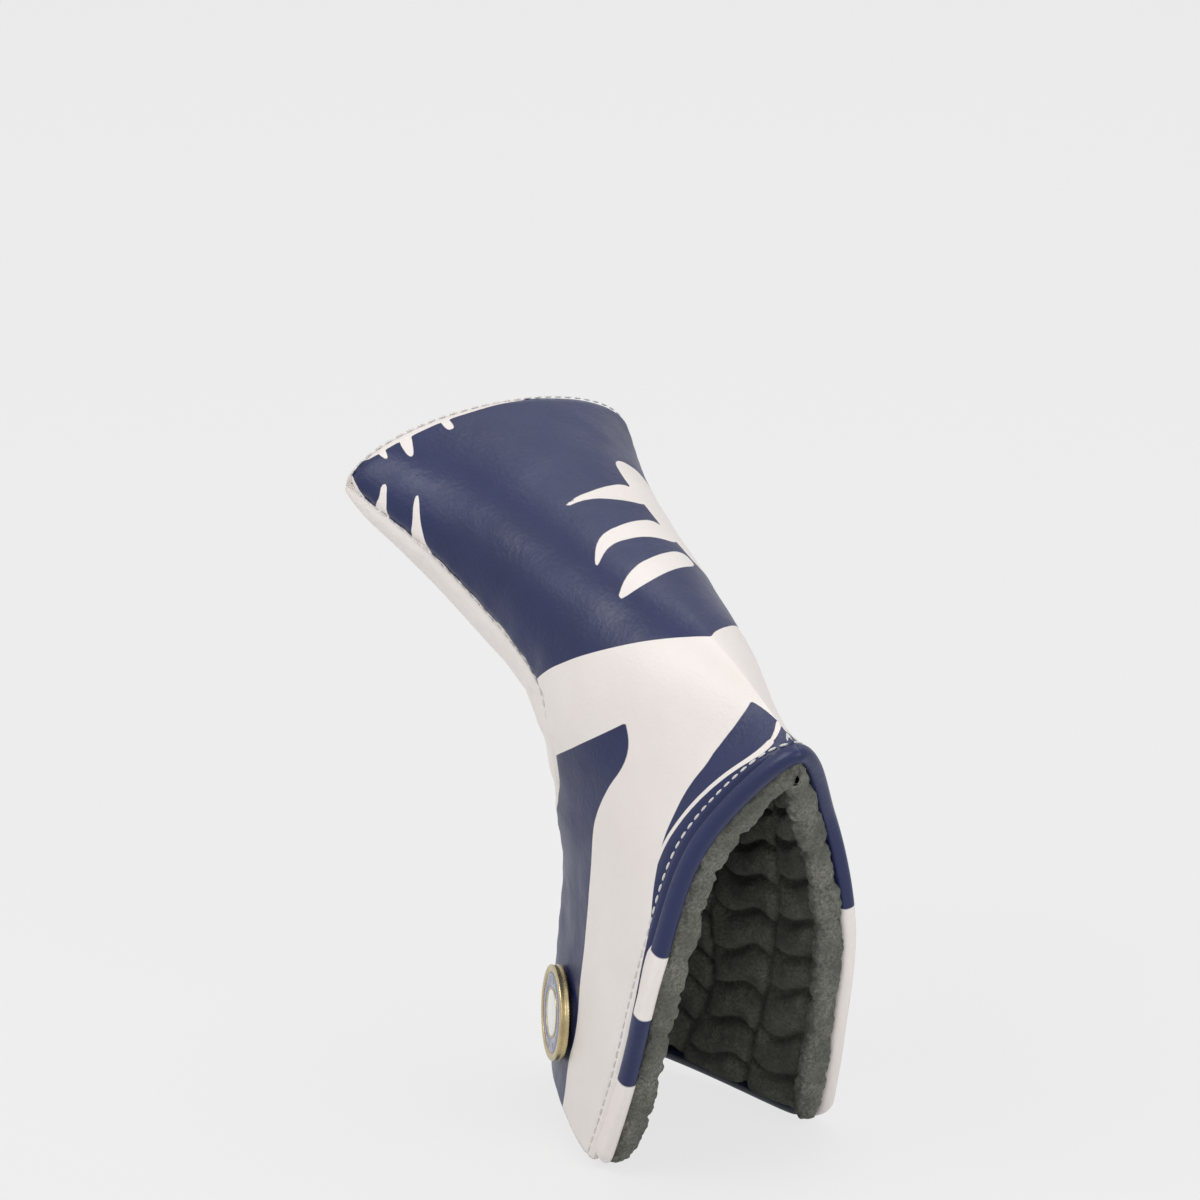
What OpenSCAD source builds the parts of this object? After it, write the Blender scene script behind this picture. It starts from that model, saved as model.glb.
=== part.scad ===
// Putter head cover: a padded pocket for the head, and an open leg round the shaft.
// Frame: Z runs up along the shaft from the open leg end to the head, the toe
// points to -X, the mouth faces +X, and the near side is -Y.

/* [Foot] */
// Distance from the shaft axis to the toe seam
toe_reach = 95; // [80:1:115]
// Width across the toe
toe_width = 84; // [70:1:102]
// Height of the toe seam above the top of the hood
toe_rise = 47; // [40:1:56]
// Height of the blunt toe end
toe_depth = 35; // [30:1:42]
// How far the toe end swells past its seam
toe_swell = 6; // [3:0.5:8]
// Width across the neck
neck_width = 52; // [46:1:62]
// Height of the neck above the top of the hood
neck_rise = 26; // [21:1:31]

/* [Hood and leg] */
// Height of the hood's front edge above the leg end
leg_height = 121; // [110:1:146]
// Distance from the shaft axis to the hood's front edge
hood_reach = 59; // [50:1:71]
// Distance from the shaft axis back to the spine
spine_setback = 54; // [48:1:60]
// Width between the mouth's edges at the flap tips
tip_spread = 70; // [60:1:84]
// Distance from the shaft axis forward to the flap tips
tip_reach = 17.5; // [14:0.5:21]
// Height at which the spine ends above the flap tips
spine_end = 7; // [4:1:12]

/* [Wall] */
// Thickness of the outer leather
leather_t = 1.4; // [1:0.1:1.8]
// Thickness of the foam
foam_t = 3.4; // [2.8:0.1:4.2]
// Thickness of the plush lining
plush_t = 4.2; // [3:0.1:5.1]
// Gap left at each seam between two panels
seam_gap = 0.3; // [0.2:0.05:0.5]

/* [Mouth edge] */
// Depth of the rolled edge in front of the wall
roll_depth = 4.5; // [3.5:0.5:6]
// Thickness of the leather welt at the mouth
welt_t = 4; // [3:0.5:4.8]
// How far the plush edge stands in from the lining
plush_edge_out = 2; // [1:0.5:3]
// Distance of the topstitch from the mouth's edge
stitch_inset = 8; // [6:0.5:11]
// Thickness of the stitching thread
thread_d = 0.8; // [0.6:0.1:1]
// Height of the hem along the flap's lower edge
hem_h = 3; // [2:0.5:4]

/* [Motion] */
// Height of the fold line at which the flaps start
fold_height = 61; // [55:1:68]
// Angle through which a flap can be pressed shut
close_angle = 12; // [8:1:14]
// Clearance between the hood and a flap at the fold
fold_gap = 1.2; // [1:0.1:1.5]

/* [Ball marker] */
// Diameter of the ball marker
coin_d = 25; // [21:0.5:30]
// Thickness of the ball marker
coin_t = 2.6; // [2:0.1:3.2]
// Diameter of the enamel face
enamel_d = 21; // [17:0.5:25]
// Depth of the enamel face
enamel_t = 0.6; // [0.4:0.1:0.8]
// Diameter of the steel seat
seat_d = 17; // [14:0.5:20]
// Thickness of the steel seat
seat_t = 2; // [1.8:0.1:2.4]
// Diameter of the magnet in the seat
seat_magnet_d = 13; // [10:0.5:15]
// Diameter of the rivet that holds the seat
rivet_d = 3.2; // [2.5:0.1:4]
// Diameter of the washer behind the foam
washer_d = 10; // [8:0.5:12]

/* [Closure magnets] */
// Diameter of a closure magnet
magnet_d = 12; // [8:0.5:14]
// Thickness of a closure magnet
magnet_t = 2; // [1.5:0.1:2.6]

/* [Hidden] */
$fn = 48;
navy = [0.13, 0.17, 0.33];
near = -1;
far = 1;

// The wall is a row of cross-sections, or ribs, from the toe to the flap tips.
// Each rib gives the sole's x and z, the crown's or lip's x, y and z, the half
// width, how sharp its roof is, and where its side seam lies from sole to lip.
hood_rib = 4;
fold_rib = 6;
tip_rib = 8;
bend_z = leg_height - 37;
sole_lean = 11;
ribs = [
    [-toe_reach - sole_lean, leg_height + toe_rise - toe_depth,
        -toe_reach, 0, leg_height + toe_rise, toe_width / 2, 0.5, 0.5],
    [-toe_reach + 22, bend_z + 29, -toe_reach + 29, 0, leg_height + 40,
        (2 * toe_width + 3 * neck_width) / 10, 0.45, 0.5],
    [-50, bend_z + 14, -18, 0, leg_height + neck_rise, neck_width / 2, 0.45, 0.42],
    [-46, bend_z + 8, 22, 0, leg_height + 14, neck_width / 2, 0.7, 0.3],
    [-46, bend_z, hood_reach, 0, leg_height, neck_width / 2 - 2, 1, 0.2],
    [-49, (bend_z + fold_height) / 2, hood_reach - 16, 20,
        (leg_height + fold_height) / 2 + 4, 31, 1, 0.15],
    [-spine_setback + 3, fold_height, 37, 30, fold_height, 33, 1, 0.12],
    [-spine_setback + 1, fold_height / 2 + 4, 27, 33, fold_height / 2 - 5, 35, 1, 0.12],
    [-spine_setback, spine_end, tip_reach, tip_spread / 2, 0, 36, 1, 0.12]
];
wall_t = leather_t + foam_t + plush_t;
rib_step = 0.5;
side_cells = 7;
sole_cells = 4;
flare = 0.56;
side_pinch = 0.25;
nudge = 0.01;
mouth_dir = unit([leg_height, 0, tip_reach - hood_reach]);

function unit(v) = v / norm(v);
function flip(p, side) = [p.x, side * p.y, p.z];
function turn_of(a) = acos(1 - 2 * a);
function share_of(turn) = (1 - cos(turn)) / 2;

// A smooth curve through a list of rows, t counted in rows.
function row(rows, i) =
    i < 0 ? 2 * rows[0] - rows[1]
    : i >= len(rows) ? 2 * rows[len(rows) - 1] - rows[len(rows) - 2]
    : rows[i];
function through(rows, t) =
    let (i = max(0, min(floor(t), len(rows) - 2)), s = t - i,
        a = row(rows, i - 1), b = row(rows, i), c = row(rows, i + 1), d = row(rows, i + 2))
    (2 * b + (c - a) * s + (2 * a - 5 * b + 4 * c - d) * s * s
        + (3 * b - a - 3 * c + d) * s * s * s) / 2;

// The crown line runs from toe to hood; the mouth's edge goes on from it as an
// arch from the near tip over the hood to the far tip.
crown_line = [for (i = [0 : hood_rib]) [ribs[i][2], ribs[i][3], ribs[i][4]]];
arch = [for (i = [-hood_rib : hood_rib])
    flip([ribs[hood_rib + abs(i)][2], ribs[hood_rib + abs(i)][3], ribs[hood_rib + abs(i)][4]],
        sign(i))];
function edge(u) = u < hood_rib ? through(crown_line, u) : through(arch, u);
function edge_run(u) =
    u < hood_rib ? unit(edge(u) - edge(u - nudge)) : unit(edge(u + nudge) - edge(u));
function edge_in(u) =
    let (run = edge_run(u))
    u < hood_rib ? [run.z, 0, -run.x] : unit(cross(run, mouth_dir));
// A point set in and back from the edge; the two sides never cross.
function edge_inset(u, depth, back) =
    let (p = edge(u) + depth * edge_in(u) - back * mouth_dir)
    [p.x, u > hood_rib ? max(p.y, seam_gap) : 0, p.z];

// A rib of the surface that lies depth inside the leather's outer face.
function rib(u, depth) =
    let (r = through(ribs, u),
        top = edge_inset(u, depth, roll_depth * pow(min(u / hood_rib, 1), 2)),
        low = [r[0], 0, r[1]],
        inward = unit([top.x, 0, top.z] - low))
    [low + depth * inward, top, r[5] - depth, r[6]];
function roof(a, s) =
    let (m = 0.5 / (0.5 + s)) pow(a, 0.5) * pow(1 - a, s) / (pow(m, 0.5) * pow(1 - m, s));

// A point of that surface: a runs from the sole (0) to the crown or lip (1).
function skin(u, a, depth, side) =
    let (r = rib(u, depth), open = u > hood_rib ? r[1].y / r[2] : 0)
    [r[0].x + (r[1].x - r[0].x) * a,
        side * ((1 - open) * r[2] * roof(a, r[3]) + r[1].y * pow(a, flare)
            - open * side_pinch * depth * sin(turn_of(a))),
        r[0].z + (r[1].z - r[0].z) * a];

// The outward normal of the leather at a point of it
function skin_normal(u, a, side) =
    side * unit(cross(skin(u + nudge, a, 0, side) - skin(u - nudge, a, 0, side),
        skin(u, a - nudge, 0, side) - skin(u, a + nudge, 0, side)));
function seam_at(u) = through(ribs, u)[7];
// Distance along the skin for each unit of a, beside the side seam
function seam_pace(u, depth) =
    norm(skin(u, seam_at(u) + nudge, depth, far) - skin(u, seam_at(u), depth, far)) / nudge;

// Side panels: k runs from the side seam (0) to the crown or lip (1). relief
// leans the edge at the seam away from it, so that a flap can fold there.
function side_point(u, k, depth, side, relief) =
    let (start = turn_of(seam_at(u) + (seam_gap / 2 + depth * relief) / seam_pace(u, depth)))
    skin(u, share_of(start + (180 - start) * k), depth, side);
// Sole panel: f runs from the middle (0) to the side seam (1); u below 0 is the toe end.
function sole_point(u, f, depth, side) =
    let (row = max(u, 0), turn = f * turn_of(seam_at(row) - seam_gap / 2 / seam_pace(row, depth)))
    u >= 0 ? skin(u, share_of(turn), depth, side)
    : let (low = skin(0, share_of(turn), depth, side),
            high = skin(0, share_of(180 - turn), depth, side))
        low - u * (high - low) - (toe_swell - depth) * sin(-180 * u) * cos(90 * f) * toe_dir;
toe_dir = [0.96, 0, -0.28];

// Closed solid between two sheets of points. split is the last column of the near
// half where a slit runs between two halves, and open_row the row where it starts.
module sheet_solid(outer, inner, split = -1, open_row = 0) {
    rows = len(outer);
    cols = len(outer[0]);
    last = cols - 1;
    halves = split < 0 ? [[0, last]] : [[0, split], [split + 1, last]];
    function at(i, j, layer) =
        (layer * rows + i) * cols + (split >= 0 && j == split + 1 && i <= open_row ? split : j);
    function quad(a, b, c, d) = [[a, b, c], [a, c, d]];
    polyhedron(
        concat([for (r = outer) each r], [for (r = inner) each r]),
        concat(
            [for (h = halves, i = [0 : rows - 2], j = [h[0] : h[1] - 1]) each concat(
                quad(at(i, j, 0), at(i, j + 1, 0), at(i + 1, j + 1, 0), at(i + 1, j, 0)),
                quad(at(i + 1, j + 1, 1), at(i, j + 1, 1), at(i, j, 1), at(i + 1, j, 1)))],
            [for (h = halves, i = [(h[0] == 0 ? 0 : open_row) : rows - 2])
                each quad(at(i, h[0], 0), at(i + 1, h[0], 0), at(i + 1, h[0], 1), at(i, h[0], 1))],
            [for (h = halves, i = [(h[1] == last ? 0 : open_row) : rows - 2])
                each quad(at(i, h[1], 0), at(i, h[1], 1), at(i + 1, h[1], 1), at(i + 1, h[1], 0))],
            [for (h = halves, j = [h[0] : h[1] - 1]) each concat(
                quad(at(0, j, 0), at(0, j, 1), at(0, j + 1, 1), at(0, j + 1, 0)),
                quad(at(rows - 1, j, 0), at(rows - 1, j + 1, 0),
                    at(rows - 1, j + 1, 1), at(rows - 1, j, 1)))]));
}

// Closed solid swept through rings of points.
module ring_solid(rings) {
    last = len(rings) - 1;
    count = len(rings[0]);
    function at(i, j) = i * count + j % count;
    polyhedron([for (r = rings) each r], concat(
        [for (i = [0 : last - 1], j = [0 : count - 1]) each
            [[at(i, j), at(i, j + 1), at(i + 1, j + 1)], [at(i, j), at(i + 1, j + 1), at(i + 1, j)]]],
        [[for (j = [count - 1 : -1 : 0]) at(0, j)], [for (j = [0 : count - 1]) at(last, j)]]));
}

// Thread along a path, standing off the skin by its own radius.
thread_sides = 6;
module thread(path) {
    last = len(path) - 1;
    ring_solid([for (i = [0 : last])
        let (run = unit(path[min(i + 1, last)] - path[max(i - 1, 0)]),
            across = unit(cross(run, abs(run.z) < 0.9 ? [0, 0, 1] : [1, 0, 0])),
            over = cross(run, across))
        [for (s = [0 : thread_sides - 1])
            path[i] + thread_d / 2 * (cos(-60 * s) * across + sin(-60 * s) * over)]]);
}
thread_lift = -thread_d / 2 - 0.05;

// Rows along the wall
fold_share = fold_gap / 2 / ((ribs[fold_rib - 1][1] - ribs[fold_rib + 1][1]) / 2);
hem_share = hem_h / (ribs[tip_rib - 1][4] - ribs[tip_rib][4]);
toe_share = seam_gap / norm(edge(1) - edge(0));
fine_step = rib_step / 2;
function arch_rows(end) = concat([for (u = [hood_rib : fine_step : fold_rib - fine_step]) u], [end]);
hood_rows = concat([toe_share], [for (u = [rib_step : rib_step : hood_rib - rib_step]) u],
    arch_rows(fold_rib - fold_share));
toe_rows = [-1, -0.85, -0.5, -0.15];
wall_rows = concat([for (u = [0 : rib_step : hood_rib - rib_step]) u],
    [for (u = [hood_rib : fine_step : fold_rib - fine_step]) u],
    [for (u = [fold_rib : rib_step : tip_rib]) u]);
sole_rows = concat(toe_rows, wall_rows);
flap_rows = concat([fold_rib + fold_share],
    [for (u = [fold_rib + rib_step : rib_step : tip_rib - rib_step]) u], [tip_rib - hem_share]);
// The edge at the fold leans, so it needs more room than the angle alone.
fold_spare = 6;
fold_relief = tan(close_angle + fold_spare);

module crown_layer(outer_depth, inner_depth) {
    function sheet(depth) = [for (u = hood_rows) concat(
        [for (k = [0 : side_cells]) side_point(u, k / side_cells, depth, near, 0)],
        [for (k = [side_cells : -1 : 0]) side_point(u, k / side_cells, depth, far, 0)])];
    sheet_solid(sheet(outer_depth), sheet(inner_depth), side_cells, hood_rib / rib_step);
}
module sole_layer(outer_depth, inner_depth) {
    function sheet(depth) = [for (u = sole_rows)
        [for (f = [sole_cells : -1 : -sole_cells])
            sole_point(u, abs(f) / sole_cells, depth, f < 0 ? near : far)]];
    sheet_solid(sheet(outer_depth), sheet(inner_depth));
}
module flap_layer(side, outer_depth, inner_depth, rows) {
    function sheet(depth) = [for (u = rows)
        [for (k = side == near ? [0 : side_cells] : [side_cells : -1 : 0])
            side_point(u, k / side_cells, depth, side, fold_relief)]];
    sheet_solid(sheet(outer_depth), sheet(inner_depth));
}

// Rolled edge of the mouth: t runs along the arch from the near tip (-4) over the
// hood (0) to the far tip (4); each section point is [back, in] from the edge.
function edge_point(t, p) = flip(edge_inset(hood_rib + abs(t), p[1], p[0]), sign(t));
module rolled_edge(rows, section) {
    ring_solid([for (t = rows) [for (p = section) edge_point(t, p)]]);
}
function both_ways(rows) = concat([for (i = [len(rows) - 1 : -1 : 1]) hood_rib - rows[i]],
    [for (u = rows) u - hood_rib]);
hood_run = both_ways(arch_rows(fold_rib - fold_share));
// The plush edge is the thickest, so it stops short to clear a closing flap.
plush_run = both_ways(arch_rows(fold_rib - 2.5 * fold_share));
far_run = [for (u = concat(flap_rows, [tip_rib])) u - hood_rib];
near_run = [for (i = [len(far_run) - 1 : -1 : 0]) -far_run[i]];
edge_bevel = 1;
back_gap = 0.2;
welt_section = [[edge_bevel, 0], [roll_depth - back_gap, 0], [roll_depth - back_gap, welt_t],
    [edge_bevel, welt_t], [0, welt_t - edge_bevel], [0, edge_bevel]];
plush_section = [[0, welt_t + back_gap], [roll_depth - back_gap, welt_t + back_gap],
    [roll_depth - back_gap, wall_t + plush_edge_out], [edge_bevel, wall_t + plush_edge_out],
    [0, wall_t + plush_edge_out - edge_bevel]];

// Topstitch line: it follows the mouth's edge and turns over the crown line.
stitch_turn = 0.3;
function stitch_point(t) =
    let (turn = 90 * min(abs(t) / stitch_turn, 1),
        back = stitch_inset - roll_depth,
        lead = back / norm(edge(hood_rib) - edge(hood_rib - 1)),
        u = hood_rib + abs(t) - lead * cos(turn),
        r = rib(max(u, hood_rib), 0),
        a = 1 - sin(turn) * back / norm(r[1] - r[0]))
    skin(u, a, thread_lift, t < 0 ? near : far);
module topstitch(from, to) {
    step = 0.1;
    count = ceil((to - from) / step);
    thread([for (i = [0 : count]) stitch_point(from + (to - from) * i / count)]);
}
toe_stitches = 2 * side_cells - 1;
seam_thread_inset = 1;
module side_seam(side) {
    thread([for (u = wall_rows)
        skin(u, seam_at(u) - seam_thread_inset / seam_pace(u, 0), thread_lift, side)]);
}

// Places children on the outer leather, with Z pointing out of it.
module on_flap(side, place) {
    a = share_of(turn_of(seam_at(place[0])) + (180 - turn_of(seam_at(place[0]))) * place[1]);
    p = skin(place[0], a, 0, side);
    n = skin_normal(place[0], a, side);
    x = unit(cross([0, 0, 1], n));
    y = cross(n, x);
    multmatrix([[x.x, y.x, n.x, p.x], [x.y, y.y, n.y, p.y], [x.z, y.z, n.z, p.z], [0, 0, 0, 1]])
        children();
}
// A disc from one height above the leather to another
module disc(d, low, high) {
    translate([0, 0, low]) cylinder(d = d, h = high - low);
}

// Ball marker and its seat, by height above the leather
marker_place = [7.15, 0.29];
fit_gap = 0.15;
seat_wall = 0.6;
flange_low = 0.1;
flange_high = 0.7;
seat_floor = -seat_t - seat_wall;
washer_t = 0.6;
rivet_inset = 0.5;
rivet_end = -leather_t - foam_t + rivet_inset;
cut_spare = 3;
coin_low = flange_high + fit_gap;
coin_high = coin_low + coin_t;

// Closure magnets, set in the foam behind each lip
magnet_place = [7, 0.65];
magnet_low = -leather_t - foam_t / 2 - magnet_t / 2;

module flap_cuts(side) {
    on_flap(side, magnet_place)
        disc(magnet_d + 2 * fit_gap, magnet_low - fit_gap, magnet_low + magnet_t + fit_gap);
}
module marker_cuts() {
    on_flap(near, marker_place) {
        disc(seat_magnet_d + 2 * (fit_gap * 2 + seat_wall), seat_floor - fit_gap, cut_spare);
        disc(rivet_d + 2 * fit_gap, rivet_end - cut_spare, 0);
        disc(washer_d + 2 * fit_gap, rivet_end - cut_spare, rivet_end + washer_t + fit_gap);
    }
}

module crown_leather() { color(navy) crown_layer(0, leather_t); }
module crown_foam() { color("khaki") crown_layer(leather_t, leather_t + foam_t); }
module crown_lining() { color("dimgray") crown_layer(leather_t + foam_t, wall_t); }
module sole_leather() { color("white") sole_layer(0, leather_t); }
module sole_foam() { color("khaki") sole_layer(leather_t, leather_t + foam_t); }
module sole_lining() { color("dimgray") sole_layer(leather_t + foam_t, wall_t); }

module hood_welt() { color(navy) rolled_edge(hood_run, welt_section); }
module hood_plush_edge() { color("gray") rolled_edge(plush_run, plush_section); }
module hood_topstitch() {
    color("white") topstitch(hood_run[0], far_run[0] - 2 * fold_share);
}
module toe_seam() {
    color("white") thread([for (k = [-toe_stitches : toe_stitches])
        side_point(toe_share, 1 - abs(k) / side_cells / 2, thread_lift, k < 0 ? near : far, 0)]);
}
module near_side_seam() { color("white") side_seam(near); }
module far_side_seam() { color("white") side_seam(far); }

module flap_leather(side) { flap_layer(side, 0, leather_t, concat(flap_rows, [tip_rib])); }
module flap_foam(side) {
    difference() {
        flap_layer(side, leather_t, leather_t + foam_t, flap_rows);
        flap_cuts(side);
    }
}
module flap_lining(side) {
    flap_layer(side, leather_t + foam_t, wall_t, flap_rows);
}
module flap_hem(side) {
    flap_layer(side, leather_t + back_gap, wall_t,
        [tip_rib - hem_share * (1 - seam_gap / hem_h), tip_rib]);
}
module closure_magnet(side) {
    on_flap(side, magnet_place) disc(magnet_d, magnet_low, magnet_low + magnet_t);
}

module near_flap_leather() {
    color("white") difference() {
        flap_leather(near);
        marker_cuts();
    }
}
module near_flap_foam() {
    color("khaki") difference() {
        flap_foam(near);
        marker_cuts();
    }
}
module near_flap_lining() { color("dimgray") flap_lining(near); }
module near_welt() { color(navy) rolled_edge(near_run, welt_section); }
module near_plush_edge() { color("gray") rolled_edge(near_run, plush_section); }
module near_topstitch() { color("white") topstitch(near_run[0], -far_run[0]); }
module near_hem() { color(navy) flap_hem(near); }
module near_magnet() { color("silver") closure_magnet(near); }

module far_flap_leather() { color("white") flap_leather(far); }
module far_flap_foam() { color("khaki") flap_foam(far); }
module far_flap_lining() { color("dimgray") flap_lining(far); }
module far_welt() { color(navy) rolled_edge(far_run, welt_section); }
module far_plush_edge() { color("gray") rolled_edge(far_run, plush_section); }
module far_topstitch() { color("white") topstitch(far_run[0], -near_run[0]); }
module far_hem() { color(navy) flap_hem(far); }
module far_magnet() { color("silver") closure_magnet(far); }

module marker_seat() {
    color("silver") on_flap(near, marker_place) difference() {
        union() {
            disc(seat_d, flange_low, flange_high);
            disc(seat_magnet_d + 2 * (fit_gap + seat_wall), seat_floor, flange_high);
        }
        disc(seat_magnet_d + 2 * fit_gap, seat_floor + seat_wall, flange_high + fit_gap);
    }
}
module seat_magnet() {
    color("dimgray") on_flap(near, marker_place)
        disc(seat_magnet_d, seat_floor + seat_wall, flange_high - fit_gap);
}
module seat_rivet() {
    color("silver") on_flap(near, marker_place) disc(rivet_d, rivet_end, seat_floor);
}
module rivet_washer() {
    color("silver") on_flap(near, marker_place) difference() {
        disc(washer_d, rivet_end, rivet_end + washer_t);
        disc(rivet_d + fit_gap, rivet_end - fit_gap, rivet_end + washer_t + fit_gap);
    }
}
module marker_coin() {
    color("goldenrod") on_flap(near, marker_place) difference() {
        disc(coin_d, coin_low, coin_high);
        disc(enamel_d, coin_high - enamel_t, coin_high + fit_gap);
    }
}
module marker_enamel() {
    color("royalblue") on_flap(near, marker_place) disc(enamel_d, coin_high - enamel_t, coin_high);
}

crown_leather();
crown_foam();
crown_lining();
sole_leather();
sole_foam();
sole_lining();
hood_welt();
hood_plush_edge();
hood_topstitch();
toe_seam();
near_side_seam();
far_side_seam();
near_flap_leather();
near_flap_foam();
near_flap_lining();
near_welt();
near_plush_edge();
near_topstitch();
near_hem();
near_magnet();
far_flap_leather();
far_flap_foam();
far_flap_lining();
far_welt();
far_plush_edge();
far_topstitch();
far_hem();
far_magnet();
marker_seat();
seat_magnet();
seat_rivet();
rivet_washer();
marker_coin();
marker_enamel();
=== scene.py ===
import math

import bpy
import numpy as np
from mathutils import Matrix, Vector, noise


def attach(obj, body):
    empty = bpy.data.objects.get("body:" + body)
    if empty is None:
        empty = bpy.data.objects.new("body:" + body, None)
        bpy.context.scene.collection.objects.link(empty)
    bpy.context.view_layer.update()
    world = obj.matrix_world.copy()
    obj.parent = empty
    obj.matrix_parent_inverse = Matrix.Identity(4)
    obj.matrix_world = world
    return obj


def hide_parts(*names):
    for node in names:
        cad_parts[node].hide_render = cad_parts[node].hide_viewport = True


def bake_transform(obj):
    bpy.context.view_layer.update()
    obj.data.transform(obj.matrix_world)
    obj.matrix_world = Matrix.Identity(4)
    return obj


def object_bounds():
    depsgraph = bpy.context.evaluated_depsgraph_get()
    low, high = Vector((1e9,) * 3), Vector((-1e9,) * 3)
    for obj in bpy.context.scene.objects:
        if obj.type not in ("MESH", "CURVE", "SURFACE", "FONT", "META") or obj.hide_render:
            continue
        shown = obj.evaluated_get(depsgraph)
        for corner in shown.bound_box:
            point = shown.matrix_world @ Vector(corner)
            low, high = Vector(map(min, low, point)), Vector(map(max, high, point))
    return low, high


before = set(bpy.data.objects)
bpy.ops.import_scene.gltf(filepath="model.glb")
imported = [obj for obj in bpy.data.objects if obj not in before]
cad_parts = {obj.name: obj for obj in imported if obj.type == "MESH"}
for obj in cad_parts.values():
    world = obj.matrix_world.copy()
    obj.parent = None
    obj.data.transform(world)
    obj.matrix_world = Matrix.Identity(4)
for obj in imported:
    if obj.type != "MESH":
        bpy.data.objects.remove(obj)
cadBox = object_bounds()
near, far = -1, 1

# the sizes that the frame was cut to, in metres
cover = {
    "toeReach": 0.095, "toeWidth": 0.084, "toeRise": 0.047, "toeDepth": 0.035, "toeSwell": 0.006,
    "neckWidth": 0.052, "neckRise": 0.026, "legHeight": 0.121, "hoodReach": 0.059,
    "spineSetback": 0.054, "spineEnd": 0.007, "tipSpread": 0.070, "tipReach": 0.0175,
    "foldHeight": 0.061, "rollDepth": 0.0045, "leather": 0.0014, "wall": 0.009,
    "sidePinch": 0.25, "flare": 0.56,
}
hoodRib, tipRib = 4, 8


# the shape: a row of ribs from the toe (0) over the hood (4) to the flap tips (8)

def ribTable(c):
    height, fold = c["legHeight"], c["foldHeight"]
    bend = height - 0.037
    neck = c["neckWidth"] / 2
    # sole x, sole z, crown or lip x, y, z, half width, sharpness of the roof, place of the seam
    return np.array([
        [-c["toeReach"] - 0.011, height + c["toeRise"] - c["toeDepth"],
         -c["toeReach"], 0, height + c["toeRise"], c["toeWidth"] / 2, 0.5, 0.5],
        [-c["toeReach"] + 0.022, bend + 0.029, -c["toeReach"] + 0.029, 0, height + 0.040,
         (2 * c["toeWidth"] + 3 * c["neckWidth"]) / 10, 0.45, 0.5],
        [-0.050, bend + 0.014, -0.018, 0, height + c["neckRise"], neck, 0.45, 0.42],
        [-0.046, bend + 0.008, 0.022, 0, height + 0.014, neck, 0.7, 0.3],
        [-0.046, bend, c["hoodReach"], 0, height, neck - 0.002, 1, 0.2],
        [-0.049, (bend + fold) / 2, c["hoodReach"] - 0.016, 0.020,
         (height + fold) / 2 + 0.004, 0.031, 1, 0.15],
        [-c["spineSetback"] + 0.003, fold, 0.037, 0.030, fold, 0.033, 1, 0.12],
        [-c["spineSetback"] + 0.001, fold / 2 + 0.004, 0.027, 0.033, fold / 2 - 0.005, 0.035, 1, 0.12],
        [-c["spineSetback"], c["spineEnd"], c["tipReach"], c["tipSpread"] / 2, 0, 0.036, 1, 0.12],
    ])


def through(rows, t):
    # a smooth curve through the rows, at t counted in rows
    t = np.asarray(t, float)
    wide = np.vstack([2 * rows[0] - rows[1], rows, 2 * rows[-1] - rows[-2]])
    i = np.clip(np.floor(t).astype(int), 0, len(rows) - 2)
    s = (t - i)[..., None]
    a, b, c, d = wide[i], wide[i + 1], wide[i + 2], wide[i + 3]
    return (2 * b + (c - a) * s + (2 * a - 5 * b + 4 * c - d) * s**2 + (3 * b - a - 3 * c + d) * s**3) / 2


def unit(v):
    return v / np.maximum(np.linalg.norm(v, axis=-1, keepdims=True), 1e-12)


ribs = ribTable(cover)
crownLine = ribs[:hoodRib + 1, 2:5]
arch = np.vstack([ribs[tipRib:hoodRib:-1, 2:5] * [1, -1, 1], ribs[hoodRib:, 2:5]])
mouthDir = unit(np.array([cover["legHeight"], 0, cover["tipReach"] - cover["hoodReach"]]))
toeDir = np.array([0.96, 0, -0.28])


def edgeAt(u):
    u = np.asarray(u, float)
    return np.where((u < hoodRib)[..., None], through(crownLine, np.minimum(u, hoodRib)),
                    through(arch, np.maximum(u, hoodRib)))


def edgeInset(u, depth, back):
    # a point beside the crown line or the mouth's edge: so deep inwards, and so far back from the mouth
    u = np.asarray(u, float)
    step = 0.01
    run = np.where((u < hoodRib)[..., None], unit(edgeAt(u) - edgeAt(u - step)),
                   unit(edgeAt(u + step) - edgeAt(u)))
    overFoot = np.stack([run[..., 2], 0 * run[..., 0], -run[..., 0]], -1)
    inward = np.where((u < hoodRib)[..., None], overFoot, unit(np.cross(run, mouthDir)))
    p = edgeAt(u) + np.asarray(depth)[..., None] * inward - np.asarray(back)[..., None] * mouthDir
    p[..., 1] = np.where(u > hoodRib, np.maximum(p[..., 1], 0), 0)
    return p


def roof(a, sharp):
    # the half width across the height, 1 at its widest
    m = 0.5 / (0.5 + sharp)
    return a**0.5 * (1 - a)**sharp / (m**0.5 * (1 - m)**sharp)


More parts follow.
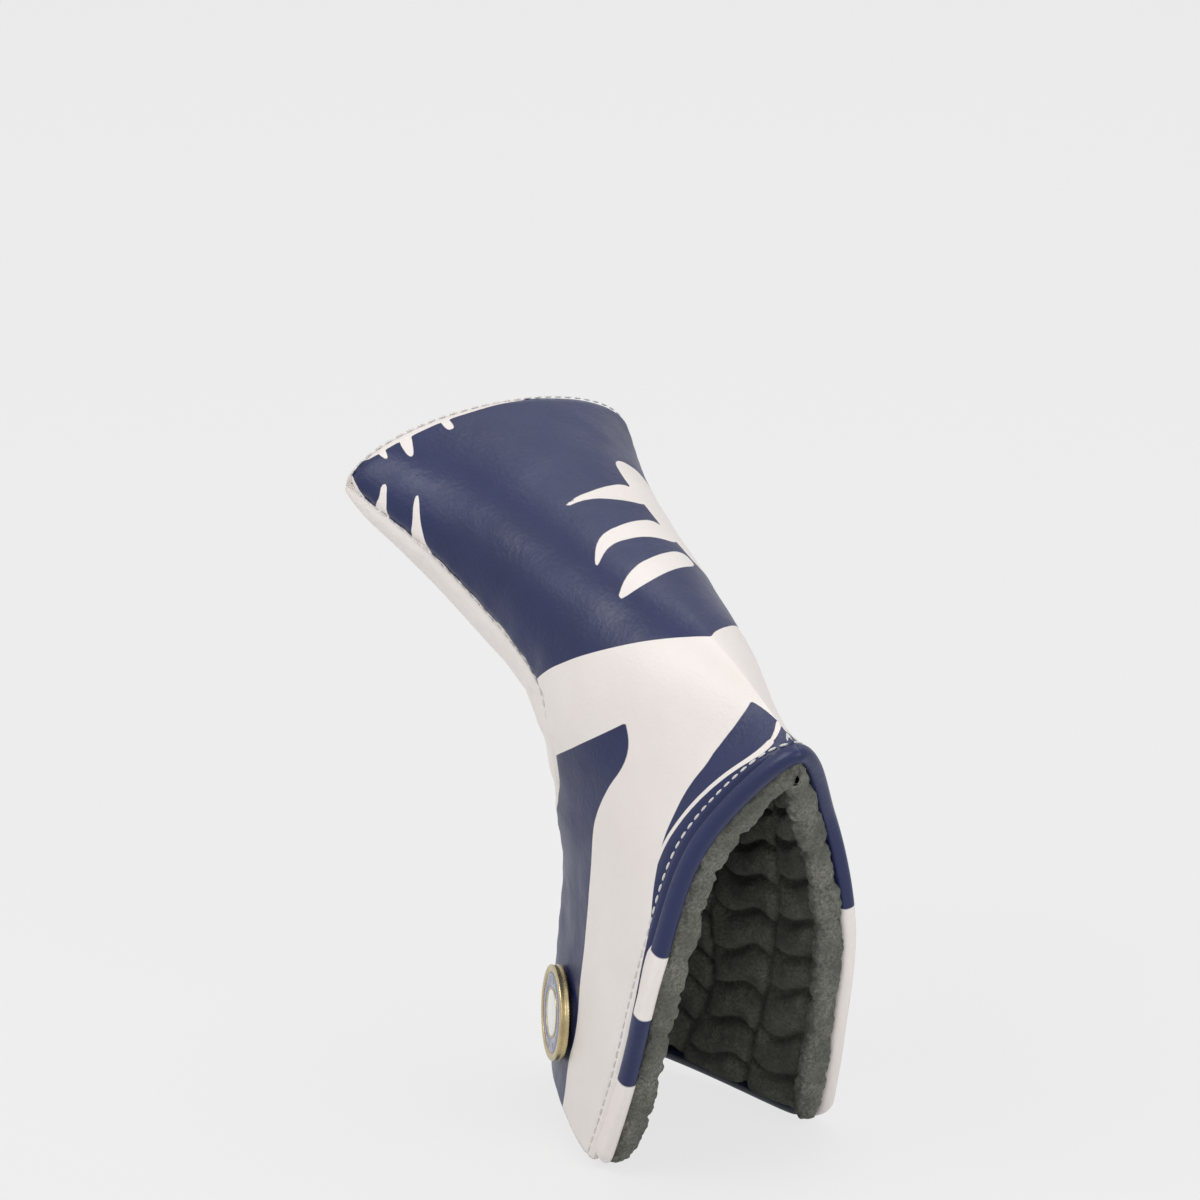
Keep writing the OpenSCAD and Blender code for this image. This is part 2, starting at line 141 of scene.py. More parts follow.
def skin(u, a, depth, side):
    # a runs from the sole (0) to the crown or lip (1), depth inwards from the leather's face
    u, a, depth, side = np.broadcast_arrays(*[np.asarray(v, float) for v in (u, a, depth, side)])
    a = np.clip(a, 0, 1)
    r = through(ribs, u)
    top = edgeInset(u, depth, cover["rollDepth"] * np.minimum(u / hoodRib, 1)**2)
    low = np.stack([r[..., 0], 0 * u, r[..., 1]], -1)
    low = low + depth[..., None] * unit(np.stack([top[..., 0], 0 * u, top[..., 2]], -1) - low)
    half = r[..., 5] - depth
    opened = np.where(u > hoodRib, top[..., 1] / half, 0)
    turn = np.arccos(1 - 2 * a)
    y = ((1 - opened) * half * roof(a, r[..., 6]) + top[..., 1] * a**cover["flare"]
         - opened * cover["sidePinch"] * depth * np.sin(turn))
    return np.stack([low[..., 0] + (top[..., 0] - low[..., 0]) * a, side * y,
                     low[..., 2] + (top[..., 2] - low[..., 2]) * a], -1)


def turnOf(a):
    return np.arccos(1 - 2 * a)


def shareOf(turn):
    return (1 - np.cos(turn)) / 2


def seamAt(u):
    return through(ribs, u)[..., 7]


def sidePanel(us, ks, depth, side):
    # k runs from the side seam (0) to the crown or lip (1)
    start = turnOf(seamAt(us))[:, None]
    return skin(us[:, None], shareOf(start + (math.pi - start) * ks), depth, side)


def solePanel(us, fs, depth):
    # f runs from the near seam (-1) to the far seam (1); u below 0 is the blunt toe end
    row = np.maximum(us, 0)[:, None]
    toe = np.minimum(us, 0)[:, None]
    turn = np.abs(fs) * turnOf(seamAt(row[:, 0]))[:, None]
    side = np.where(fs < 0, near, far)
    low = skin(row, shareOf(turn), depth, side)
    high = skin(0 * row, shareOf(math.pi - turn), depth, side)
    swell = (cover["toeSwell"] - depth) * np.sin(-math.pi * toe) * np.cos(math.pi / 2 * fs)
    return low - toe[..., None] * (high - low) - swell[..., None] * toeDir


# small tools for grids of points

def spread(first, last, step):
    return np.linspace(first, last, int(round((last - first) / step)) + 1)


def lengthAlong(grid, axis):
    seg = np.linalg.norm(np.diff(grid, axis=axis), axis=-1)
    start = np.zeros_like(np.take(seg, [0], axis=axis))
    return np.concatenate([start, np.cumsum(seg, axis=axis)], axis=axis)


def noiseAt(points, scale, shift=0.0):
    flat = points.reshape(-1, 3) / scale + shift
    return np.array([noise.noise(Vector(p)) for p in flat]).reshape(points.shape[:-1])


def bump(distance, width):
    return np.exp(-(distance / width)**2)


def nearest(points, path):
    flat = points.reshape(-1, 3)
    best = np.full(len(flat), 1.0)
    for chunk in np.array_split(path, max(1, len(path) // 40)):
        best = np.minimum(best, np.linalg.norm(flat[:, None] - chunk[None], axis=-1).min(1))
    return best.reshape(points.shape[:-1])


def linked(name, data):
    thing = bpy.data.objects.new(name, data)
    bpy.context.scene.collection.objects.link(thing)
    return thing


def makeObject(name, verts, faces, material, smooth=None):
    mesh = bpy.data.meshes.new(name)
    mesh.from_pydata(verts.tolist(), [], faces)
    if smooth is None:
        smooth = [True] * len(faces)
    mesh.polygons.foreach_set("use_smooth", smooth)
    mesh.materials.append(material)
    mesh.update()
    return linked(name, mesh)


def setAttribute(piece, name, values):
    attribute = piece.data.attributes.new(name, "FLOAT", "POINT")
    attribute.data.foreach_set("value", np.asarray(values, np.float32).ravel())


def makeShell(name, outer, inner, material, panel=None):
    # a closed wall between two grids of points; panel holds the two values of its UV map
    rows, cols = outer.shape[:2]
    verts = np.concatenate([outer.reshape(-1, 3), inner.reshape(-1, 3)])
    count = rows * cols
    index = np.arange(count).reshape(rows, cols)
    quads = np.stack([index[:-1, :-1], index[:-1, 1:], index[1:, 1:], index[1:, :-1]], -1).reshape(-1, 4)
    mid = quads[len(quads) // 2]
    facing = np.cross(verts[mid[1]] - verts[mid[0]], verts[mid[3]] - verts[mid[0]])
    flipped = facing @ (verts[mid[0]] - verts[mid[0] + count]) < 0
    if flipped:
        quads = quads[:, ::-1]
    border = np.concatenate([index[0, :], index[1:, -1], index[-1, -2::-1], index[-2:0:-1, 0]])
    after = np.roll(border, -1)
    rim = np.stack([after, border, border + count, after + count], -1)
    if flipped:
        rim = rim[:, ::-1]
    faces = np.concatenate([quads, quads[:, ::-1] + count, rim])
    smooth = np.ones(len(faces), bool)
    smooth[-len(rim):] = False
    piece = makeObject(name, verts, faces.tolist(), material, smooth.tolist())
    if panel is not None:
        values = np.tile(np.stack([v.ravel() for v in np.broadcast_arrays(*panel)], -1), (2, 1))
        uv = piece.data.uv_layers.new(name="panel")
        uv.data.foreach_set("uv", values[faces.ravel()].astype(np.float32).ravel())
    return piece


def makeTube(name, rings, material):
    # a closed tube through rings of points, with a fan of faces at each end
    rows, cols = rings.shape[:2]
    first, last = rings[0].mean(0), rings[-1].mean(0)
    verts = np.concatenate([rings.reshape(-1, 3), [first, last]])
    faces = []
    for i in range(rows - 1):
        for j in range(cols):
            k = (j + 1) % cols
            faces.append([i * cols + j, i * cols + k, (i + 1) * cols + k, (i + 1) * cols + j])
    for j in range(cols):
        k = (j + 1) % cols
        faces.append([rows * cols, k, j])
        faces.append([rows * cols + 1, (rows - 1) * cols + j, (rows - 1) * cols + k])
    a, b = rings[rows // 2][0], rings[rows // 2][1]
    c = rings[rows // 2 + 1][0]
    if np.cross(b - a, c - a) @ (a - rings[rows // 2].mean(0)) < 0:
        faces = [f[::-1] for f in faces]
    return makeObject(name, verts, faces, material)


# materials

def colour(red, green, blue):
    def linear(v):
        v /= 255
        return v / 12.92 if v < 0.04045 else ((v + 0.055) / 1.055)**2.4
    return (linear(red), linear(green), linear(blue), 1)


ink = {
    "navy": colour(28, 38, 82), "navyDeep": colour(18, 25, 60), "white": colour(238, 231, 227),
    # hem: navy darkened nearly to black, painted shade of the hem along the flaps' lower edges
    "whiteWorn": colour(226, 217, 212), "hem": colour(20, 24, 40),
    "plush": colour(122, 122, 114), "plushDark": colour(68, 70, 64), "thread": colour(226, 224, 222),
    "brass": colour(196, 180, 138), "steel": colour(190, 192, 196), "magnet": colour(120, 122, 126),
}


class Shade:
    # one material under construction, with its Principled shader
    def __init__(self, name):
        self.material = bpy.data.materials.new(name)
        self.material.use_nodes = True
        self.tree = self.material.node_tree
        self.main = self.tree.nodes["Principled BSDF"]

    def add(self, kind, settings=None, **inputs):
        node = self.tree.nodes.new("ShaderNode" + kind)
        for key, value in (settings or {}).items():
            setattr(node, key, value)
        for key, value in inputs.items():
            self.put(node, int(key[1:]) if key[0] == "i" and key[1:].isdigit() else key, value)
        return node

    def put(self, node, key, value):
        if hasattr(value, "is_output"):
            self.tree.links.new(value, node.inputs[key])
        else:
            node.inputs[key].default_value = value

    def place(self):
        return self.add("TexCoord").outputs["Object"]

    def noise(self, scale, detail=3.0, rough=0.55):
        return self.add("TexNoise", Vector=self.place(), Scale=scale, Detail=detail,
                        Roughness=rough).outputs["Fac"]

    def cells(self, scale, smooth=0.3):
        return self.add("TexVoronoi", {"feature": "SMOOTH_F1"}, Vector=self.place(), Scale=scale,
                        Smoothness=smooth).outputs["Distance"]

    def maths(self, operation, a, b=0.0):
        return self.add("Math", {"operation": operation}, i0=a, i1=b).outputs[0]

    def span(self, value, low, high, outLow=0.0, outHigh=1.0):
        node = self.add("MapRange", {"clamp": True}, Value=value)
        for key, v in (("From Min", low), ("From Max", high), ("To Min", outLow), ("To Max", outHigh)):
            node.inputs[key].default_value = v
        return node.outputs["Result"]

    def blend(self, share, a, b):
        node = self.add("Mix", {"data_type": "RGBA"}, i0=share, i6=a, i7=b)
        return node.outputs[2]

    def attribute(self, name):
        return self.add("Attribute", {"attribute_name": name}).outputs["Fac"]

    def relief(self, height, distance, strength=1.0, under=None):
        node = self.add("Bump", Height=height, Distance=distance, Strength=strength)
        if under is not None:
            self.put(node, "Normal", under)
        return node.outputs["Normal"]

    def set(self, **values):
        for key, value in values.items():
            self.put(self.main, key.replace("_", " "), value)


leatherLook = {"grain": 900.0, "grainDepth": 0.00009, "pore": 2600.0, "poreDepth": 0.00003, "crease": 140.0,
               "creaseDepth": 0.0006, "cloud": 38.0, "speck": 1500.0, "wear": 90.0, "wearSpan": (-0.06, 0.07),
               "printEdge": 0.00010, "pinHalf": (0.00055, 0.00070)}


def leatherMaterial(name, field, light, dark, gloss):
    # field names the distance to the white print, negative inside it, or is None for a plain leather
    s = Shade(name)
    z = leatherLook
    if field:
        printed = s.span(s.attribute(field), -z["printEdge"], z["printEdge"], 1.0, 0.0)
        pin = s.span(s.maths("ABSOLUTE", s.attribute("pinField")), *z["pinHalf"], 1.0, 0.0)
        base = s.blend(s.maths("MAXIMUM", printed, pin), dark[0], light[0])
        tone = s.blend(s.maths("MAXIMUM", printed, pin), dark[1], light[1])
    else:
        base, tone = light
    cloudy = s.span(s.noise(z["cloud"], 4.0), 0.35, 0.72)
    mottle = s.blend(s.maths("MULTIPLY", cloudy, 0.42), base, tone)
    pores = s.cells(z["pore"], 0.2)
    speck = s.span(s.noise(z["speck"], 2.0), 0.62, 0.75, 0.0, 0.22)
    s.set(Base_Color=s.blend(speck, mottle, tone))
    grain = s.cells(z["grain"], 0.5)
    crease = s.noise(z["crease"], 5.0, 0.6)
    soft = s.relief(crease, z["creaseDepth"], 0.35)
    coarse = s.relief(grain, z["grainDepth"], 0.55, soft)
    s.set(Normal=s.relief(pores, z["poreDepth"], 0.5, coarse))
    low, high = z["wearSpan"]
    worn = s.span(s.noise(z["wear"], 3.0), 0.3, 0.7, gloss + low, gloss + high)
    s.set(Roughness=worn, Specular_IOR_Level=0.42)
    return s.material


plushLook = {"nap": 95.0, "napShare": 0.7, "tuft": 1300.0, "clump": 420.0, "clumpDepth": 0.0009,
             "fibre": 1900.0, "fibreDepth": 0.0004, "sheen": colour(150, 156, 148)}


def plushMaterial(name, light, dark):
    s = Shade(name)
    z = plushLook
    lay = s.span(s.noise(z["nap"], 3.0, 0.6), 0.38, 0.64)  # the pile's nap, brushed one way or the other
    tuft = s.span(s.noise(z["tuft"], 3.0, 0.7), 0.3, 0.7)
    brushed = s.maths("ADD", s.maths("MULTIPLY", lay, z["napShare"]), 0.3)
    s.set(Base_Color=s.blend(s.maths("MULTIPLY", tuft, brushed), dark, light))
    coarse = s.relief(s.noise(z["clump"], 4.0, 0.7), z["clumpDepth"], 0.8)
    s.set(Normal=s.relief(s.noise(z["fibre"], 3.0, 0.8), z["fibreDepth"], 0.8, coarse))
    s.set(Roughness=0.95, Specular_IOR_Level=0.15, Sheen_Weight=0.28, Sheen_Roughness=0.45,
          Sheen_Tint=z["sheen"])
    return s.material


def threadMaterial(name, tone):
    s = Shade(name)
    twist = s.add("TexWave", {"bands_direction": "DIAGONAL"}, Vector=s.place(), Scale=900.0,
                  Distortion=1.5).outputs["Fac"]
    s.set(Base_Color=s.blend(s.maths("MULTIPLY", twist, 0.35), tone, colour(170, 168, 166)))
    s.set(Normal=s.relief(twist, 0.0001, 0.6), Roughness=0.62, Sheen_Weight=0.15)
    return s.material


def metalMaterial(name, tone, rough, scratch):
    s = Shade(name)
    fine = s.noise(scratch, 4.0, 0.7)
    s.set(Base_Color=s.blend(s.span(s.noise(240.0, 3.0), 0.4, 0.7, 0.0, 0.3), tone, colour(120, 108, 84)))
    s.set(Metallic=1.0, Roughness=s.span(fine, 0.3, 0.7, rough - 0.08, rough + 0.1))
    s.set(Normal=s.relief(fine, 0.00002, 0.5))
    return s.material


def enamelMaterial(name, tone, deep):
    s = Shade(name)
    s.set(Base_Color=s.blend(s.span(s.noise(500.0, 2.0), 0.4, 0.6, 0.0, 0.3), tone, deep))
    s.set(Roughness=s.span(s.noise(300.0, 2.0), 0.3, 0.7, 0.14, 0.24), Coat_Weight=0.5, Coat_Roughness=0.08)
    s.set(Normal=s.relief(s.noise(120.0, 2.0), 0.0002, 0.1))
    return s.material


navyPair = (ink["navy"], ink["navyDeep"])
whitePair = (ink["white"], ink["whiteWorn"])
printedLeather = leatherMaterial("printedLeather", "printField", whitePair, navyPair, 0.41)
whiteLeather = leatherMaterial("whiteLeather", None, whitePair, None, 0.44)
# painted shade: the hem's navy leather is darkened nearly to black
hemLeatherPaintedShade = leatherMaterial("hemLeatherPaintedShade", None, (ink["hem"], ink["navyDeep"]), None, 0.45)
plushPile = plushMaterial("plushPile", ink["plush"], ink["plushDark"])
# painted light: the roll at the mouth's edge gets a lighter copy of the lining's plush, where the light falls
# on it
plushRoll = plushMaterial("plushRoll", colour(146, 146, 137), colour(80, 81, 75))
whiteThread = threadMaterial("whiteThread", ink["thread"])
coinBrass = metalMaterial("coinBrass", ink["brass"], 0.26, 2200.0)
seatSteel = metalMaterial("seatSteel", ink["steel"], 0.34, 1600.0)
magnetMetal = metalMaterial("magnetMetal", ink["magnet"], 0.4, 900.0)
blueEnamel = enamelMaterial("blueEnamel", colour(40, 62, 128), colour(28, 44, 100))
whiteEnamel = enamelMaterial("whiteEnamel", colour(236, 236, 232), colour(226, 228, 230))
print("materials:", len(bpy.data.materials))

# bakes a side piece's placement into its mesh


def bendWith(piece):
    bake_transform(piece)


def sideName(side, rest):
    return ("near" if side == near else "far") + rest


# seams: where the threads run

seams = {"inset": 0.008, "turn": 0.3, "pitch": 0.0031, "length": 0.0023, "radius": 0.00036,
         "groove": 0.0005, "grooveWidth": 0.0012, "valley": 0.0007, "sunk": 0.00012, "fine": 0.7,
         "topRows": (0.02, 3.93), "topPoints": 260, "sideRows": (0.03, 7.95), "sidePoints": 300,
         "toeStart": 0.02, "toePoints": 80}


def mouthLine(ts, inset, depth, side, turnAt=seams["turn"]):
    # the line that keeps its distance from the mouth's edge and turns over the crown line
    turn = math.pi / 2 * np.minimum(np.abs(ts) / turnAt, 1)
    back = inset - cover["rollDepth"]
    lead = back / np.linalg.norm(edgeAt(hoodRib) - edgeAt(hoodRib - 1))
    u = hoodRib + np.abs(ts) - lead * np.cos(turn)
    r = through(ribs, np.maximum(u, hoodRib))
    top = edgeInset(np.maximum(u, hoodRib), 0 * u, 0 * u + cover["rollDepth"])
    low = np.stack([r[:, 0], 0 * u, r[:, 1]], -1)
    a = 1 - np.sin(turn) * back / np.linalg.norm(top - low, axis=1)
    return skin(u, a, depth, side)


# the leather: two printed side panels and the white sole

leatherSizes = {"rowStep": 0.028, "sideCells": 76, "soleCells": 84, "tuck": 0.0011, "tuckWidth": 0.0016,
                "softness": 0.0004, "softWide": 0.022, "softFine": 0.009, "fineShare": 0.35,
                "ripple": 0.00012, "rippleLength": 0.007, "rippleWander": 0.03, "rippleReach": 0.005,
                "fold": 0.0009, "foldGrain": 0.0085, "foldStretch": 0.35, "foldRow": 2.7, "foldRows": 1.0,
                "foldReach": 0.020, "soleFold": 1.3, "soleStretch": 0.3, "soleFoldRows": 1.1,
                "thinnest": 0.0002, "toeStep": 0.028, "toeReach": 0.12, "toePasses": 40,
                "hoodReach": 0.3, "hoodPasses": 60, "markerFlat": 0.014}
markerPlace = (7.15, 0.29)


def markerFrame():
    # the marker's own axes on the near flap, with its height along the leather's normal
    start = turnOf(seamAt(markerPlace[0]))
    a = shareOf(start + (math.pi - start) * markerPlace[1])
    u, step = markerPlace[0], 0.01
    p = skin(u, a, 0, near)
    n = unit(np.cross(skin(u + step, a, 0, near) - skin(u - step, a, 0, near),
                      skin(u, a + step, 0, near) - skin(u, a - step, 0, near)))
    if n[1] > 0:
        n = -n
    x = unit(np.cross([0, 0, 1], n))
    y = np.cross(n, x)
    return Matrix([[x[i], y[i], n[i], p[i]] for i in range(3)] + [[0, 0, 0, 1]])


markerMatrix = markerFrame()
markerPoint = np.array(markerMatrix.translation)

# plain colour blocks, each a few corners in panel rows (u) and across the crown (v: the near
# seam is 0, the crown line 1, the far seam 2)
whiteBlocks = [
    [(2.2, -0.1), (2.32, 0.12), (2.44, 0.3), (2.58, 0.5), (2.72, 0.72), (2.82, 0.9), (2.86, 1.0),
     (2.8, 1.1), (2.7, 1.4), (2.6, 1.7), (2.5, 2.1), (8.3, 2.1), (8.3, -0.1)],
    [(1.0, 1.34), (1.3, 1.28), (1.7, 1.3), (2.02, 1.36), (2.1, 1.6), (1.95, 1.85), (1.25, 1.85),
     (1.02, 1.6)],
    [(1.45, 0.84), (1.36, 1.02), (1.3, 1.3), (1.5, 1.32), (1.46, 1.12), (1.42, 1.0)],
    [(1.96, 0.74), (1.74, 0.88), (1.66, 1.04), (1.62, 1.3), (1.84, 1.34), (1.78, 1.1), (1.8, 0.92)],
    [(2.26, 0.7), (2.1, 0.84), (1.98, 1.02), (1.9, 1.3), (2.04, 1.36), (2.12, 1.1), (2.2, 0.92)],
    [(-0.1, 0.2), (-0.1, 1.15), (0.05, 1.12), (0.085, 0.9), (0.1, 0.6), (0.06, 0.3)],
    [(0.05, 0.36), (0.2, 0.37), (0.05, 0.42)],
    [(0.05, 0.5), (0.3, 0.46), (0.32, 0.49), (0.05, 0.58)],
    [(0.05, 0.72), (0.24, 0.71), (0.24, 0.75), (0.05, 0.76)],
    [(-0.1, -0.1), (-0.1, 0.11), (0.1, 0.1), (0.18, 0.02), (0.24, -0.1)],
    [(0.24, -0.1), (0.36, 0.1), (0.3, 0.22), (0.35, 0.24), (0.44, 0.1), (0.46, -0.1)],
    [(0.62, -0.1), (0.74, 0.08), (0.62, 0.3), (0.66, 0.31), (0.84, 0.1), (0.98, -0.1)],
    [(1.5, -0.1), (1.62, 0.04), (1.72, 0.05), (1.8, -0.1)],
]
# a corner that is given twice stays sharp
nearWedge = [(3.7, -0.1), (3.57, 0.14), (3.42, 0.385), (3.42, 0.385), (4.0, 0.325), (4.5, 0.31), (5.3, 0.36),
             (5.95, 0.37), (6.5, 0.39), (7.1, 0.44), (7.5, 0.4), (8.3, 0.42), (8.3, -0.1)]
navyBlocks = [
    nearWedge,
    [(7.75, 0.985), (7.1, 0.95), (6.6, 0.93), (6.2, 0.9), (5.8, 0.845), (5.43, 0.77), (4.98, 0.705),
     (4.53, 0.63), (4.1, 0.6), (3.86, 0.65), (3.68, 0.74), (3.55, 0.85), (3.54, 0.87), (3.76, 0.97),
     (3.9, 1.08), (4.04, 1.2), (4.3, 1.3), (4.8, 1.28), (5.4, 1.23), (5.8, 1.16), (6.3, 1.08), (7.0, 1.03)],
    [(u, 2 - v) for u, v in nearWedge],
]
# white again over the navy, along the mouth's edge
edgeBlocks = [
    [(5.93, 1.0), (5.87, 0.97), (5.93, 0.9), (6.05, 0.9), (6.3, 0.93), (6.44, 0.97), (6.4, 1.0)],
    [(7.0, 1.0), (6.95, 0.97), (7.1, 0.88), (8.3, 0.8), (8.4, 1.0)],
    [(5.86, 1.0), (5.8, 1.02), (5.84, 1.3), (8.4, 1.3), (8.4, 1.0)],
]
panelScale = np.array([0.036, 0.060])  # metres for each row, and for half the girth
pinStripe = {"inset": 0.0130, "turn": 0.9, "to": 1.7}


def softened(corners, passes=2, cut=0.22):
    # cuts each corner off twice, which leaves a drawn curve
    c = np.array(corners, float)
    for _ in range(passes):
        after = np.roll(c, -1, axis=0)
        c = np.stack([c + (after - c) * cut, after + (c - after) * cut], 1).reshape(-1, 2)
    return c


def blockDistance(uv, corners):
    # signed distance to a block, negative inside it, in metres
    p = uv.reshape(-1, 2) * panelScale
    c = softened(corners) * panelScale
    distance = np.full(len(p), 1.0)
    inside = np.zeros(len(p), bool)
    for a, b in zip(c, np.roll(c, -1, axis=0)):
        run = b - a
        if run @ run < 1e-12:
            continue
        share = np.clip(((p - a) @ run) / (run @ run), 0, 1)
        distance = np.minimum(distance, np.linalg.norm(p - a - share[:, None] * run, axis=1))
        crosses = (a[1] > p[:, 1]) != (b[1] > p[:, 1])
        at = a[0] + (p[:, 1] - a[1]) * run[0] / (run[1] if run[1] else 1e-12)
        inside ^= crosses & (p[:, 0] < at)
    return np.where(inside, -distance, distance).reshape(uv.shape[:-1])


def printField(us, vs):
    # distance to the white print, negative inside it
    uv = np.stack(np.broadcast_arrays(us, vs), -1)
    white = np.minimum.reduce([blockDistance(uv, b) for b in whiteBlocks])
    blue = np.minimum.reduce([blockDistance(uv, b) for b in navyBlocks])
    over = np.minimum.reduce([blockDistance(uv, b) for b in edgeBlocks])
    return np.minimum(np.maximum(white, -blue), over)


def roundAcross(grid, us, at, reach, passes, columns=1.0):
    # softens a crease that runs across the rows at one place
    weight = (np.exp(-((us - at) / reach)**2)[:, None] * columns)[..., None]
    for _ in range(passes):
        middle = (grid[:-2] + grid[2:]) / 2
        grid = grid.copy()
        grid[1:-1] += weight[1:-1] * (middle - grid[1:-1])
    return grid


def overHood(grid, us, ks):
    # the crown line and the lip keep their place, so that the two sides still meet
    z = leatherSizes
    return roundAcross(grid, us, hoodRib, z["hoodReach"], z["hoodPasses"], (1 - ks**10)[None, :])


def unevenness(flat):
    z = leatherSizes
    fine = noiseAt(flat, z["softFine"], 3.0) * z["softness"] * z["fineShare"]
    return noiseAt(flat, z["softWide"]) * z["softness"] + fine


def seamRipple(flat, fromToe, fromSeam):
    z = leatherSizes
    phase = fromToe * 2 * math.pi / z["rippleLength"] + 4 * noiseAt(flat, z["rippleWander"], 7.0)
    return np.sin(phase) * bump(fromSeam, z["rippleReach"])


def sideLeather(side):
    z = leatherSizes
    us = spread(0.0, tipRib, z["rowStep"])
    ks = np.linspace(0, 1, z["sideCells"] + 1)
    flat = sidePanel(us, ks, 0, side)
    fromSeam = lengthAlong(flat, 1)
    fromTop = fromSeam[:, -1:] - fromSeam
    fromToe = lengthAlong(flat, 0)
    tuck = bump(fromSeam, z["tuckWidth"]) + bump(fromToe, z["tuckWidth"])
    tuck = tuck + np.where(us[:, None] > hoodRib, bump(fromTop, z["tuckWidth"]), 0)
    thread = mouthLine(np.linspace(0, 4, 240), seams["inset"], 0, side)
    groove = bump(nearest(flat, thread), seams["grooveWidth"])
    calm = 1 - bump(np.linalg.norm(flat - markerPoint, axis=-1), z["markerFlat"])
    soft = unevenness(flat)
    ripple = seamRipple(flat, fromToe, fromSeam)
    # folds on the inside of the bend, where the foot turns into the leg
    bendMask = bump(us[:, None] - z["foldRow"], z["foldRows"]) * bump(fromSeam, z["foldReach"])
    folds = noiseAt(flat * [1, z["foldStretch"], 1], z["foldGrain"], 11.0) * bendMask
    depth = (z["tuck"] * tuck + seams["groove"] * groove
             + calm * (soft + z["ripple"] * ripple + z["fold"] * folds))
    outer = overHood(sidePanel(us, ks, depth, side), us, ks)
    inner = overHood(sidePanel(us, ks, np.maximum(depth, z["thinnest"]) + cover["leather"], side), us, ks)
    vs = ks if side == near else 2 - ks
    piece = makeShell(sideName(side, "SideLeather"), outer, inner, printedLeather,
                      (us[:, None] / tipRib, vs[None, :] / 2))
    field = printField(us[:, None], vs[None, :])
    pinRows = np.linspace(0, pinStripe["to"], 200)
    pin = nearest(flat, mouthLine(pinRows, pinStripe["inset"], 0, side, pinStripe["turn"]))
    setAttribute(piece, "printField", np.tile(field.ravel(), 2))
    setAttribute(piece, "pinField", np.tile(pin.ravel(), 2))
    # the two halves meet along the crown line with one shared normal
    count = len(us) * len(ks)
    normals = np.zeros((2 * count, 3))
    top = np.arange(len(us)) * len(ks) + len(ks) - 1
    closed = top[us <= hoodRib]
    auto = np.array([v.vector for v in piece.data.vertex_normals])[closed]
    normals[closed] = unit(auto * [1, 0, 1])
    piece.data.normals_split_custom_set_from_vertices(normals.tolist())
    bendWith(piece)
    return piece


def soleLeather():
    z = leatherSizes
    us = np.concatenate([spread(-1, 0, z["toeStep"])[:-1], spread(0, tipRib, z["rowStep"])])
    fs = np.linspace(-1, 1, z["soleCells"] + 1)
    flat = solePanel(us, fs, np.zeros((len(us), len(fs))))
    across = lengthAlong(flat, 1)
    fromSeam = np.minimum(across, across[:, -1:] - across)
    fromToe = lengthAlong(flat, 0)
    tuck = bump(fromSeam, z["tuckWidth"]) + bump(fromToe, z["tuckWidth"]) * (us[:, None] < 0)
    soft = unevenness(flat)
    ripple = seamRipple(flat, fromToe, fromSeam)
    bendMask = bump(us[:, None] - z["foldRow"], z["soleFoldRows"])
    folds = noiseAt(flat * [1, z["soleStretch"], 1], z["foldGrain"], 11.0) * bendMask
    depth = z["tuck"] * tuck + soft + z["ripple"] * ripple + z["soleFold"] * z["fold"] * folds
    depths = (depth, np.maximum(depth, z["thinnest"]) + cover["leather"])
    grids = [roundAcross(solePanel(us, fs, d), us, 0.0, z["toeReach"], z["toePasses"]) for d in depths]
    outer, inner = [overHood(grid, us, 0 * fs) for grid in grids]
    piece = makeShell("soleLeather", outer, inner, whiteLeather, (us[:, None] / (tipRib + 1), fs[None, :]))
    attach(piece, "root")
    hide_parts("sole_leather")
    return piece


nearLeather = sideLeather(near)
farLeather = sideLeather(far)
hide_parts("crown_leather", "near_flap_leather")
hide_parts("far_flap_leather")
soleLeather()
print("leather: two printed sides and the sole")

# the plush lining, quilted over its foam

quilt = {"pitch": 0.0128, "column": 0.0215, "channel": 0.0012, "sink": 0.0017, "puff": 0.0013,
         "rowStep": 0.026, "sideCells": 84, "soleCells": 84, "back": 0.0019, "pile": 0.00028,
         "alongWave": 0.0045, "alongGrain": 0.024, "courseWave": 0.0022, "acrossWave": 0.0040,
         "acrossGrain": 0.026, "softEdge": 0.0004, "pillow": 0.0034, "pileClump": 0.0021, "pileTuft": 0.0009,
         "sideRows": (0.05, tipRib - 0.03), "courseStart": 0.004, "endRound": 0.0035, "soleEnd": 0.0025,
         "toeStep": 0.04, "toeBack": 0.0022, "toeRows": 0.2, "toeReach": 0.16, "toePasses": 40}


def quiltDepth(flat, along, across, edges):
    # brick courses of channels, a little wavy, and one along each edge of the panel
    z = quilt
    wave = z["courseWave"] * np.sin(across / z["column"] * 2 * math.pi)
    along = along + z["alongWave"] * noiseAt(flat, z["alongGrain"], 5.0) + wave
    across = across + z["acrossWave"] * noiseAt(flat, z["acrossGrain"], 9.0)
    course = np.floor(across / z["column"])
    toColumn = np.abs((across / z["column"] + 0.5) % 1 - 0.5) * z["column"]
    shifted = along / z["pitch"] + 0.5 * (course % 2)
    toRow = np.abs((shifted + 0.5) % 1 - 0.5) * z["pitch"]
    line = np.minimum(np.minimum(toColumn + z["softEdge"], toRow), edges)
    channel = bump(line, z["channel"])
    pillow = 1 - np.exp(-line / z["pillow"])
    pile = noiseAt(flat, z["pileClump"], 2.0) * 0.6 + noiseAt(flat, z["pileTuft"], 4.0) * 0.4
    return cover["wall"] - z["sink"] * channel + z["puff"] * pillow + z["pile"] * pile


def rounded(fromEnd, reach):
    # how far a wall's face draws back towards its middle at a rounded end
    x = np.clip(1 - fromEnd / reach, 0, 1)
    return 1 - np.sqrt(np.maximum(1 - x * x, 0))


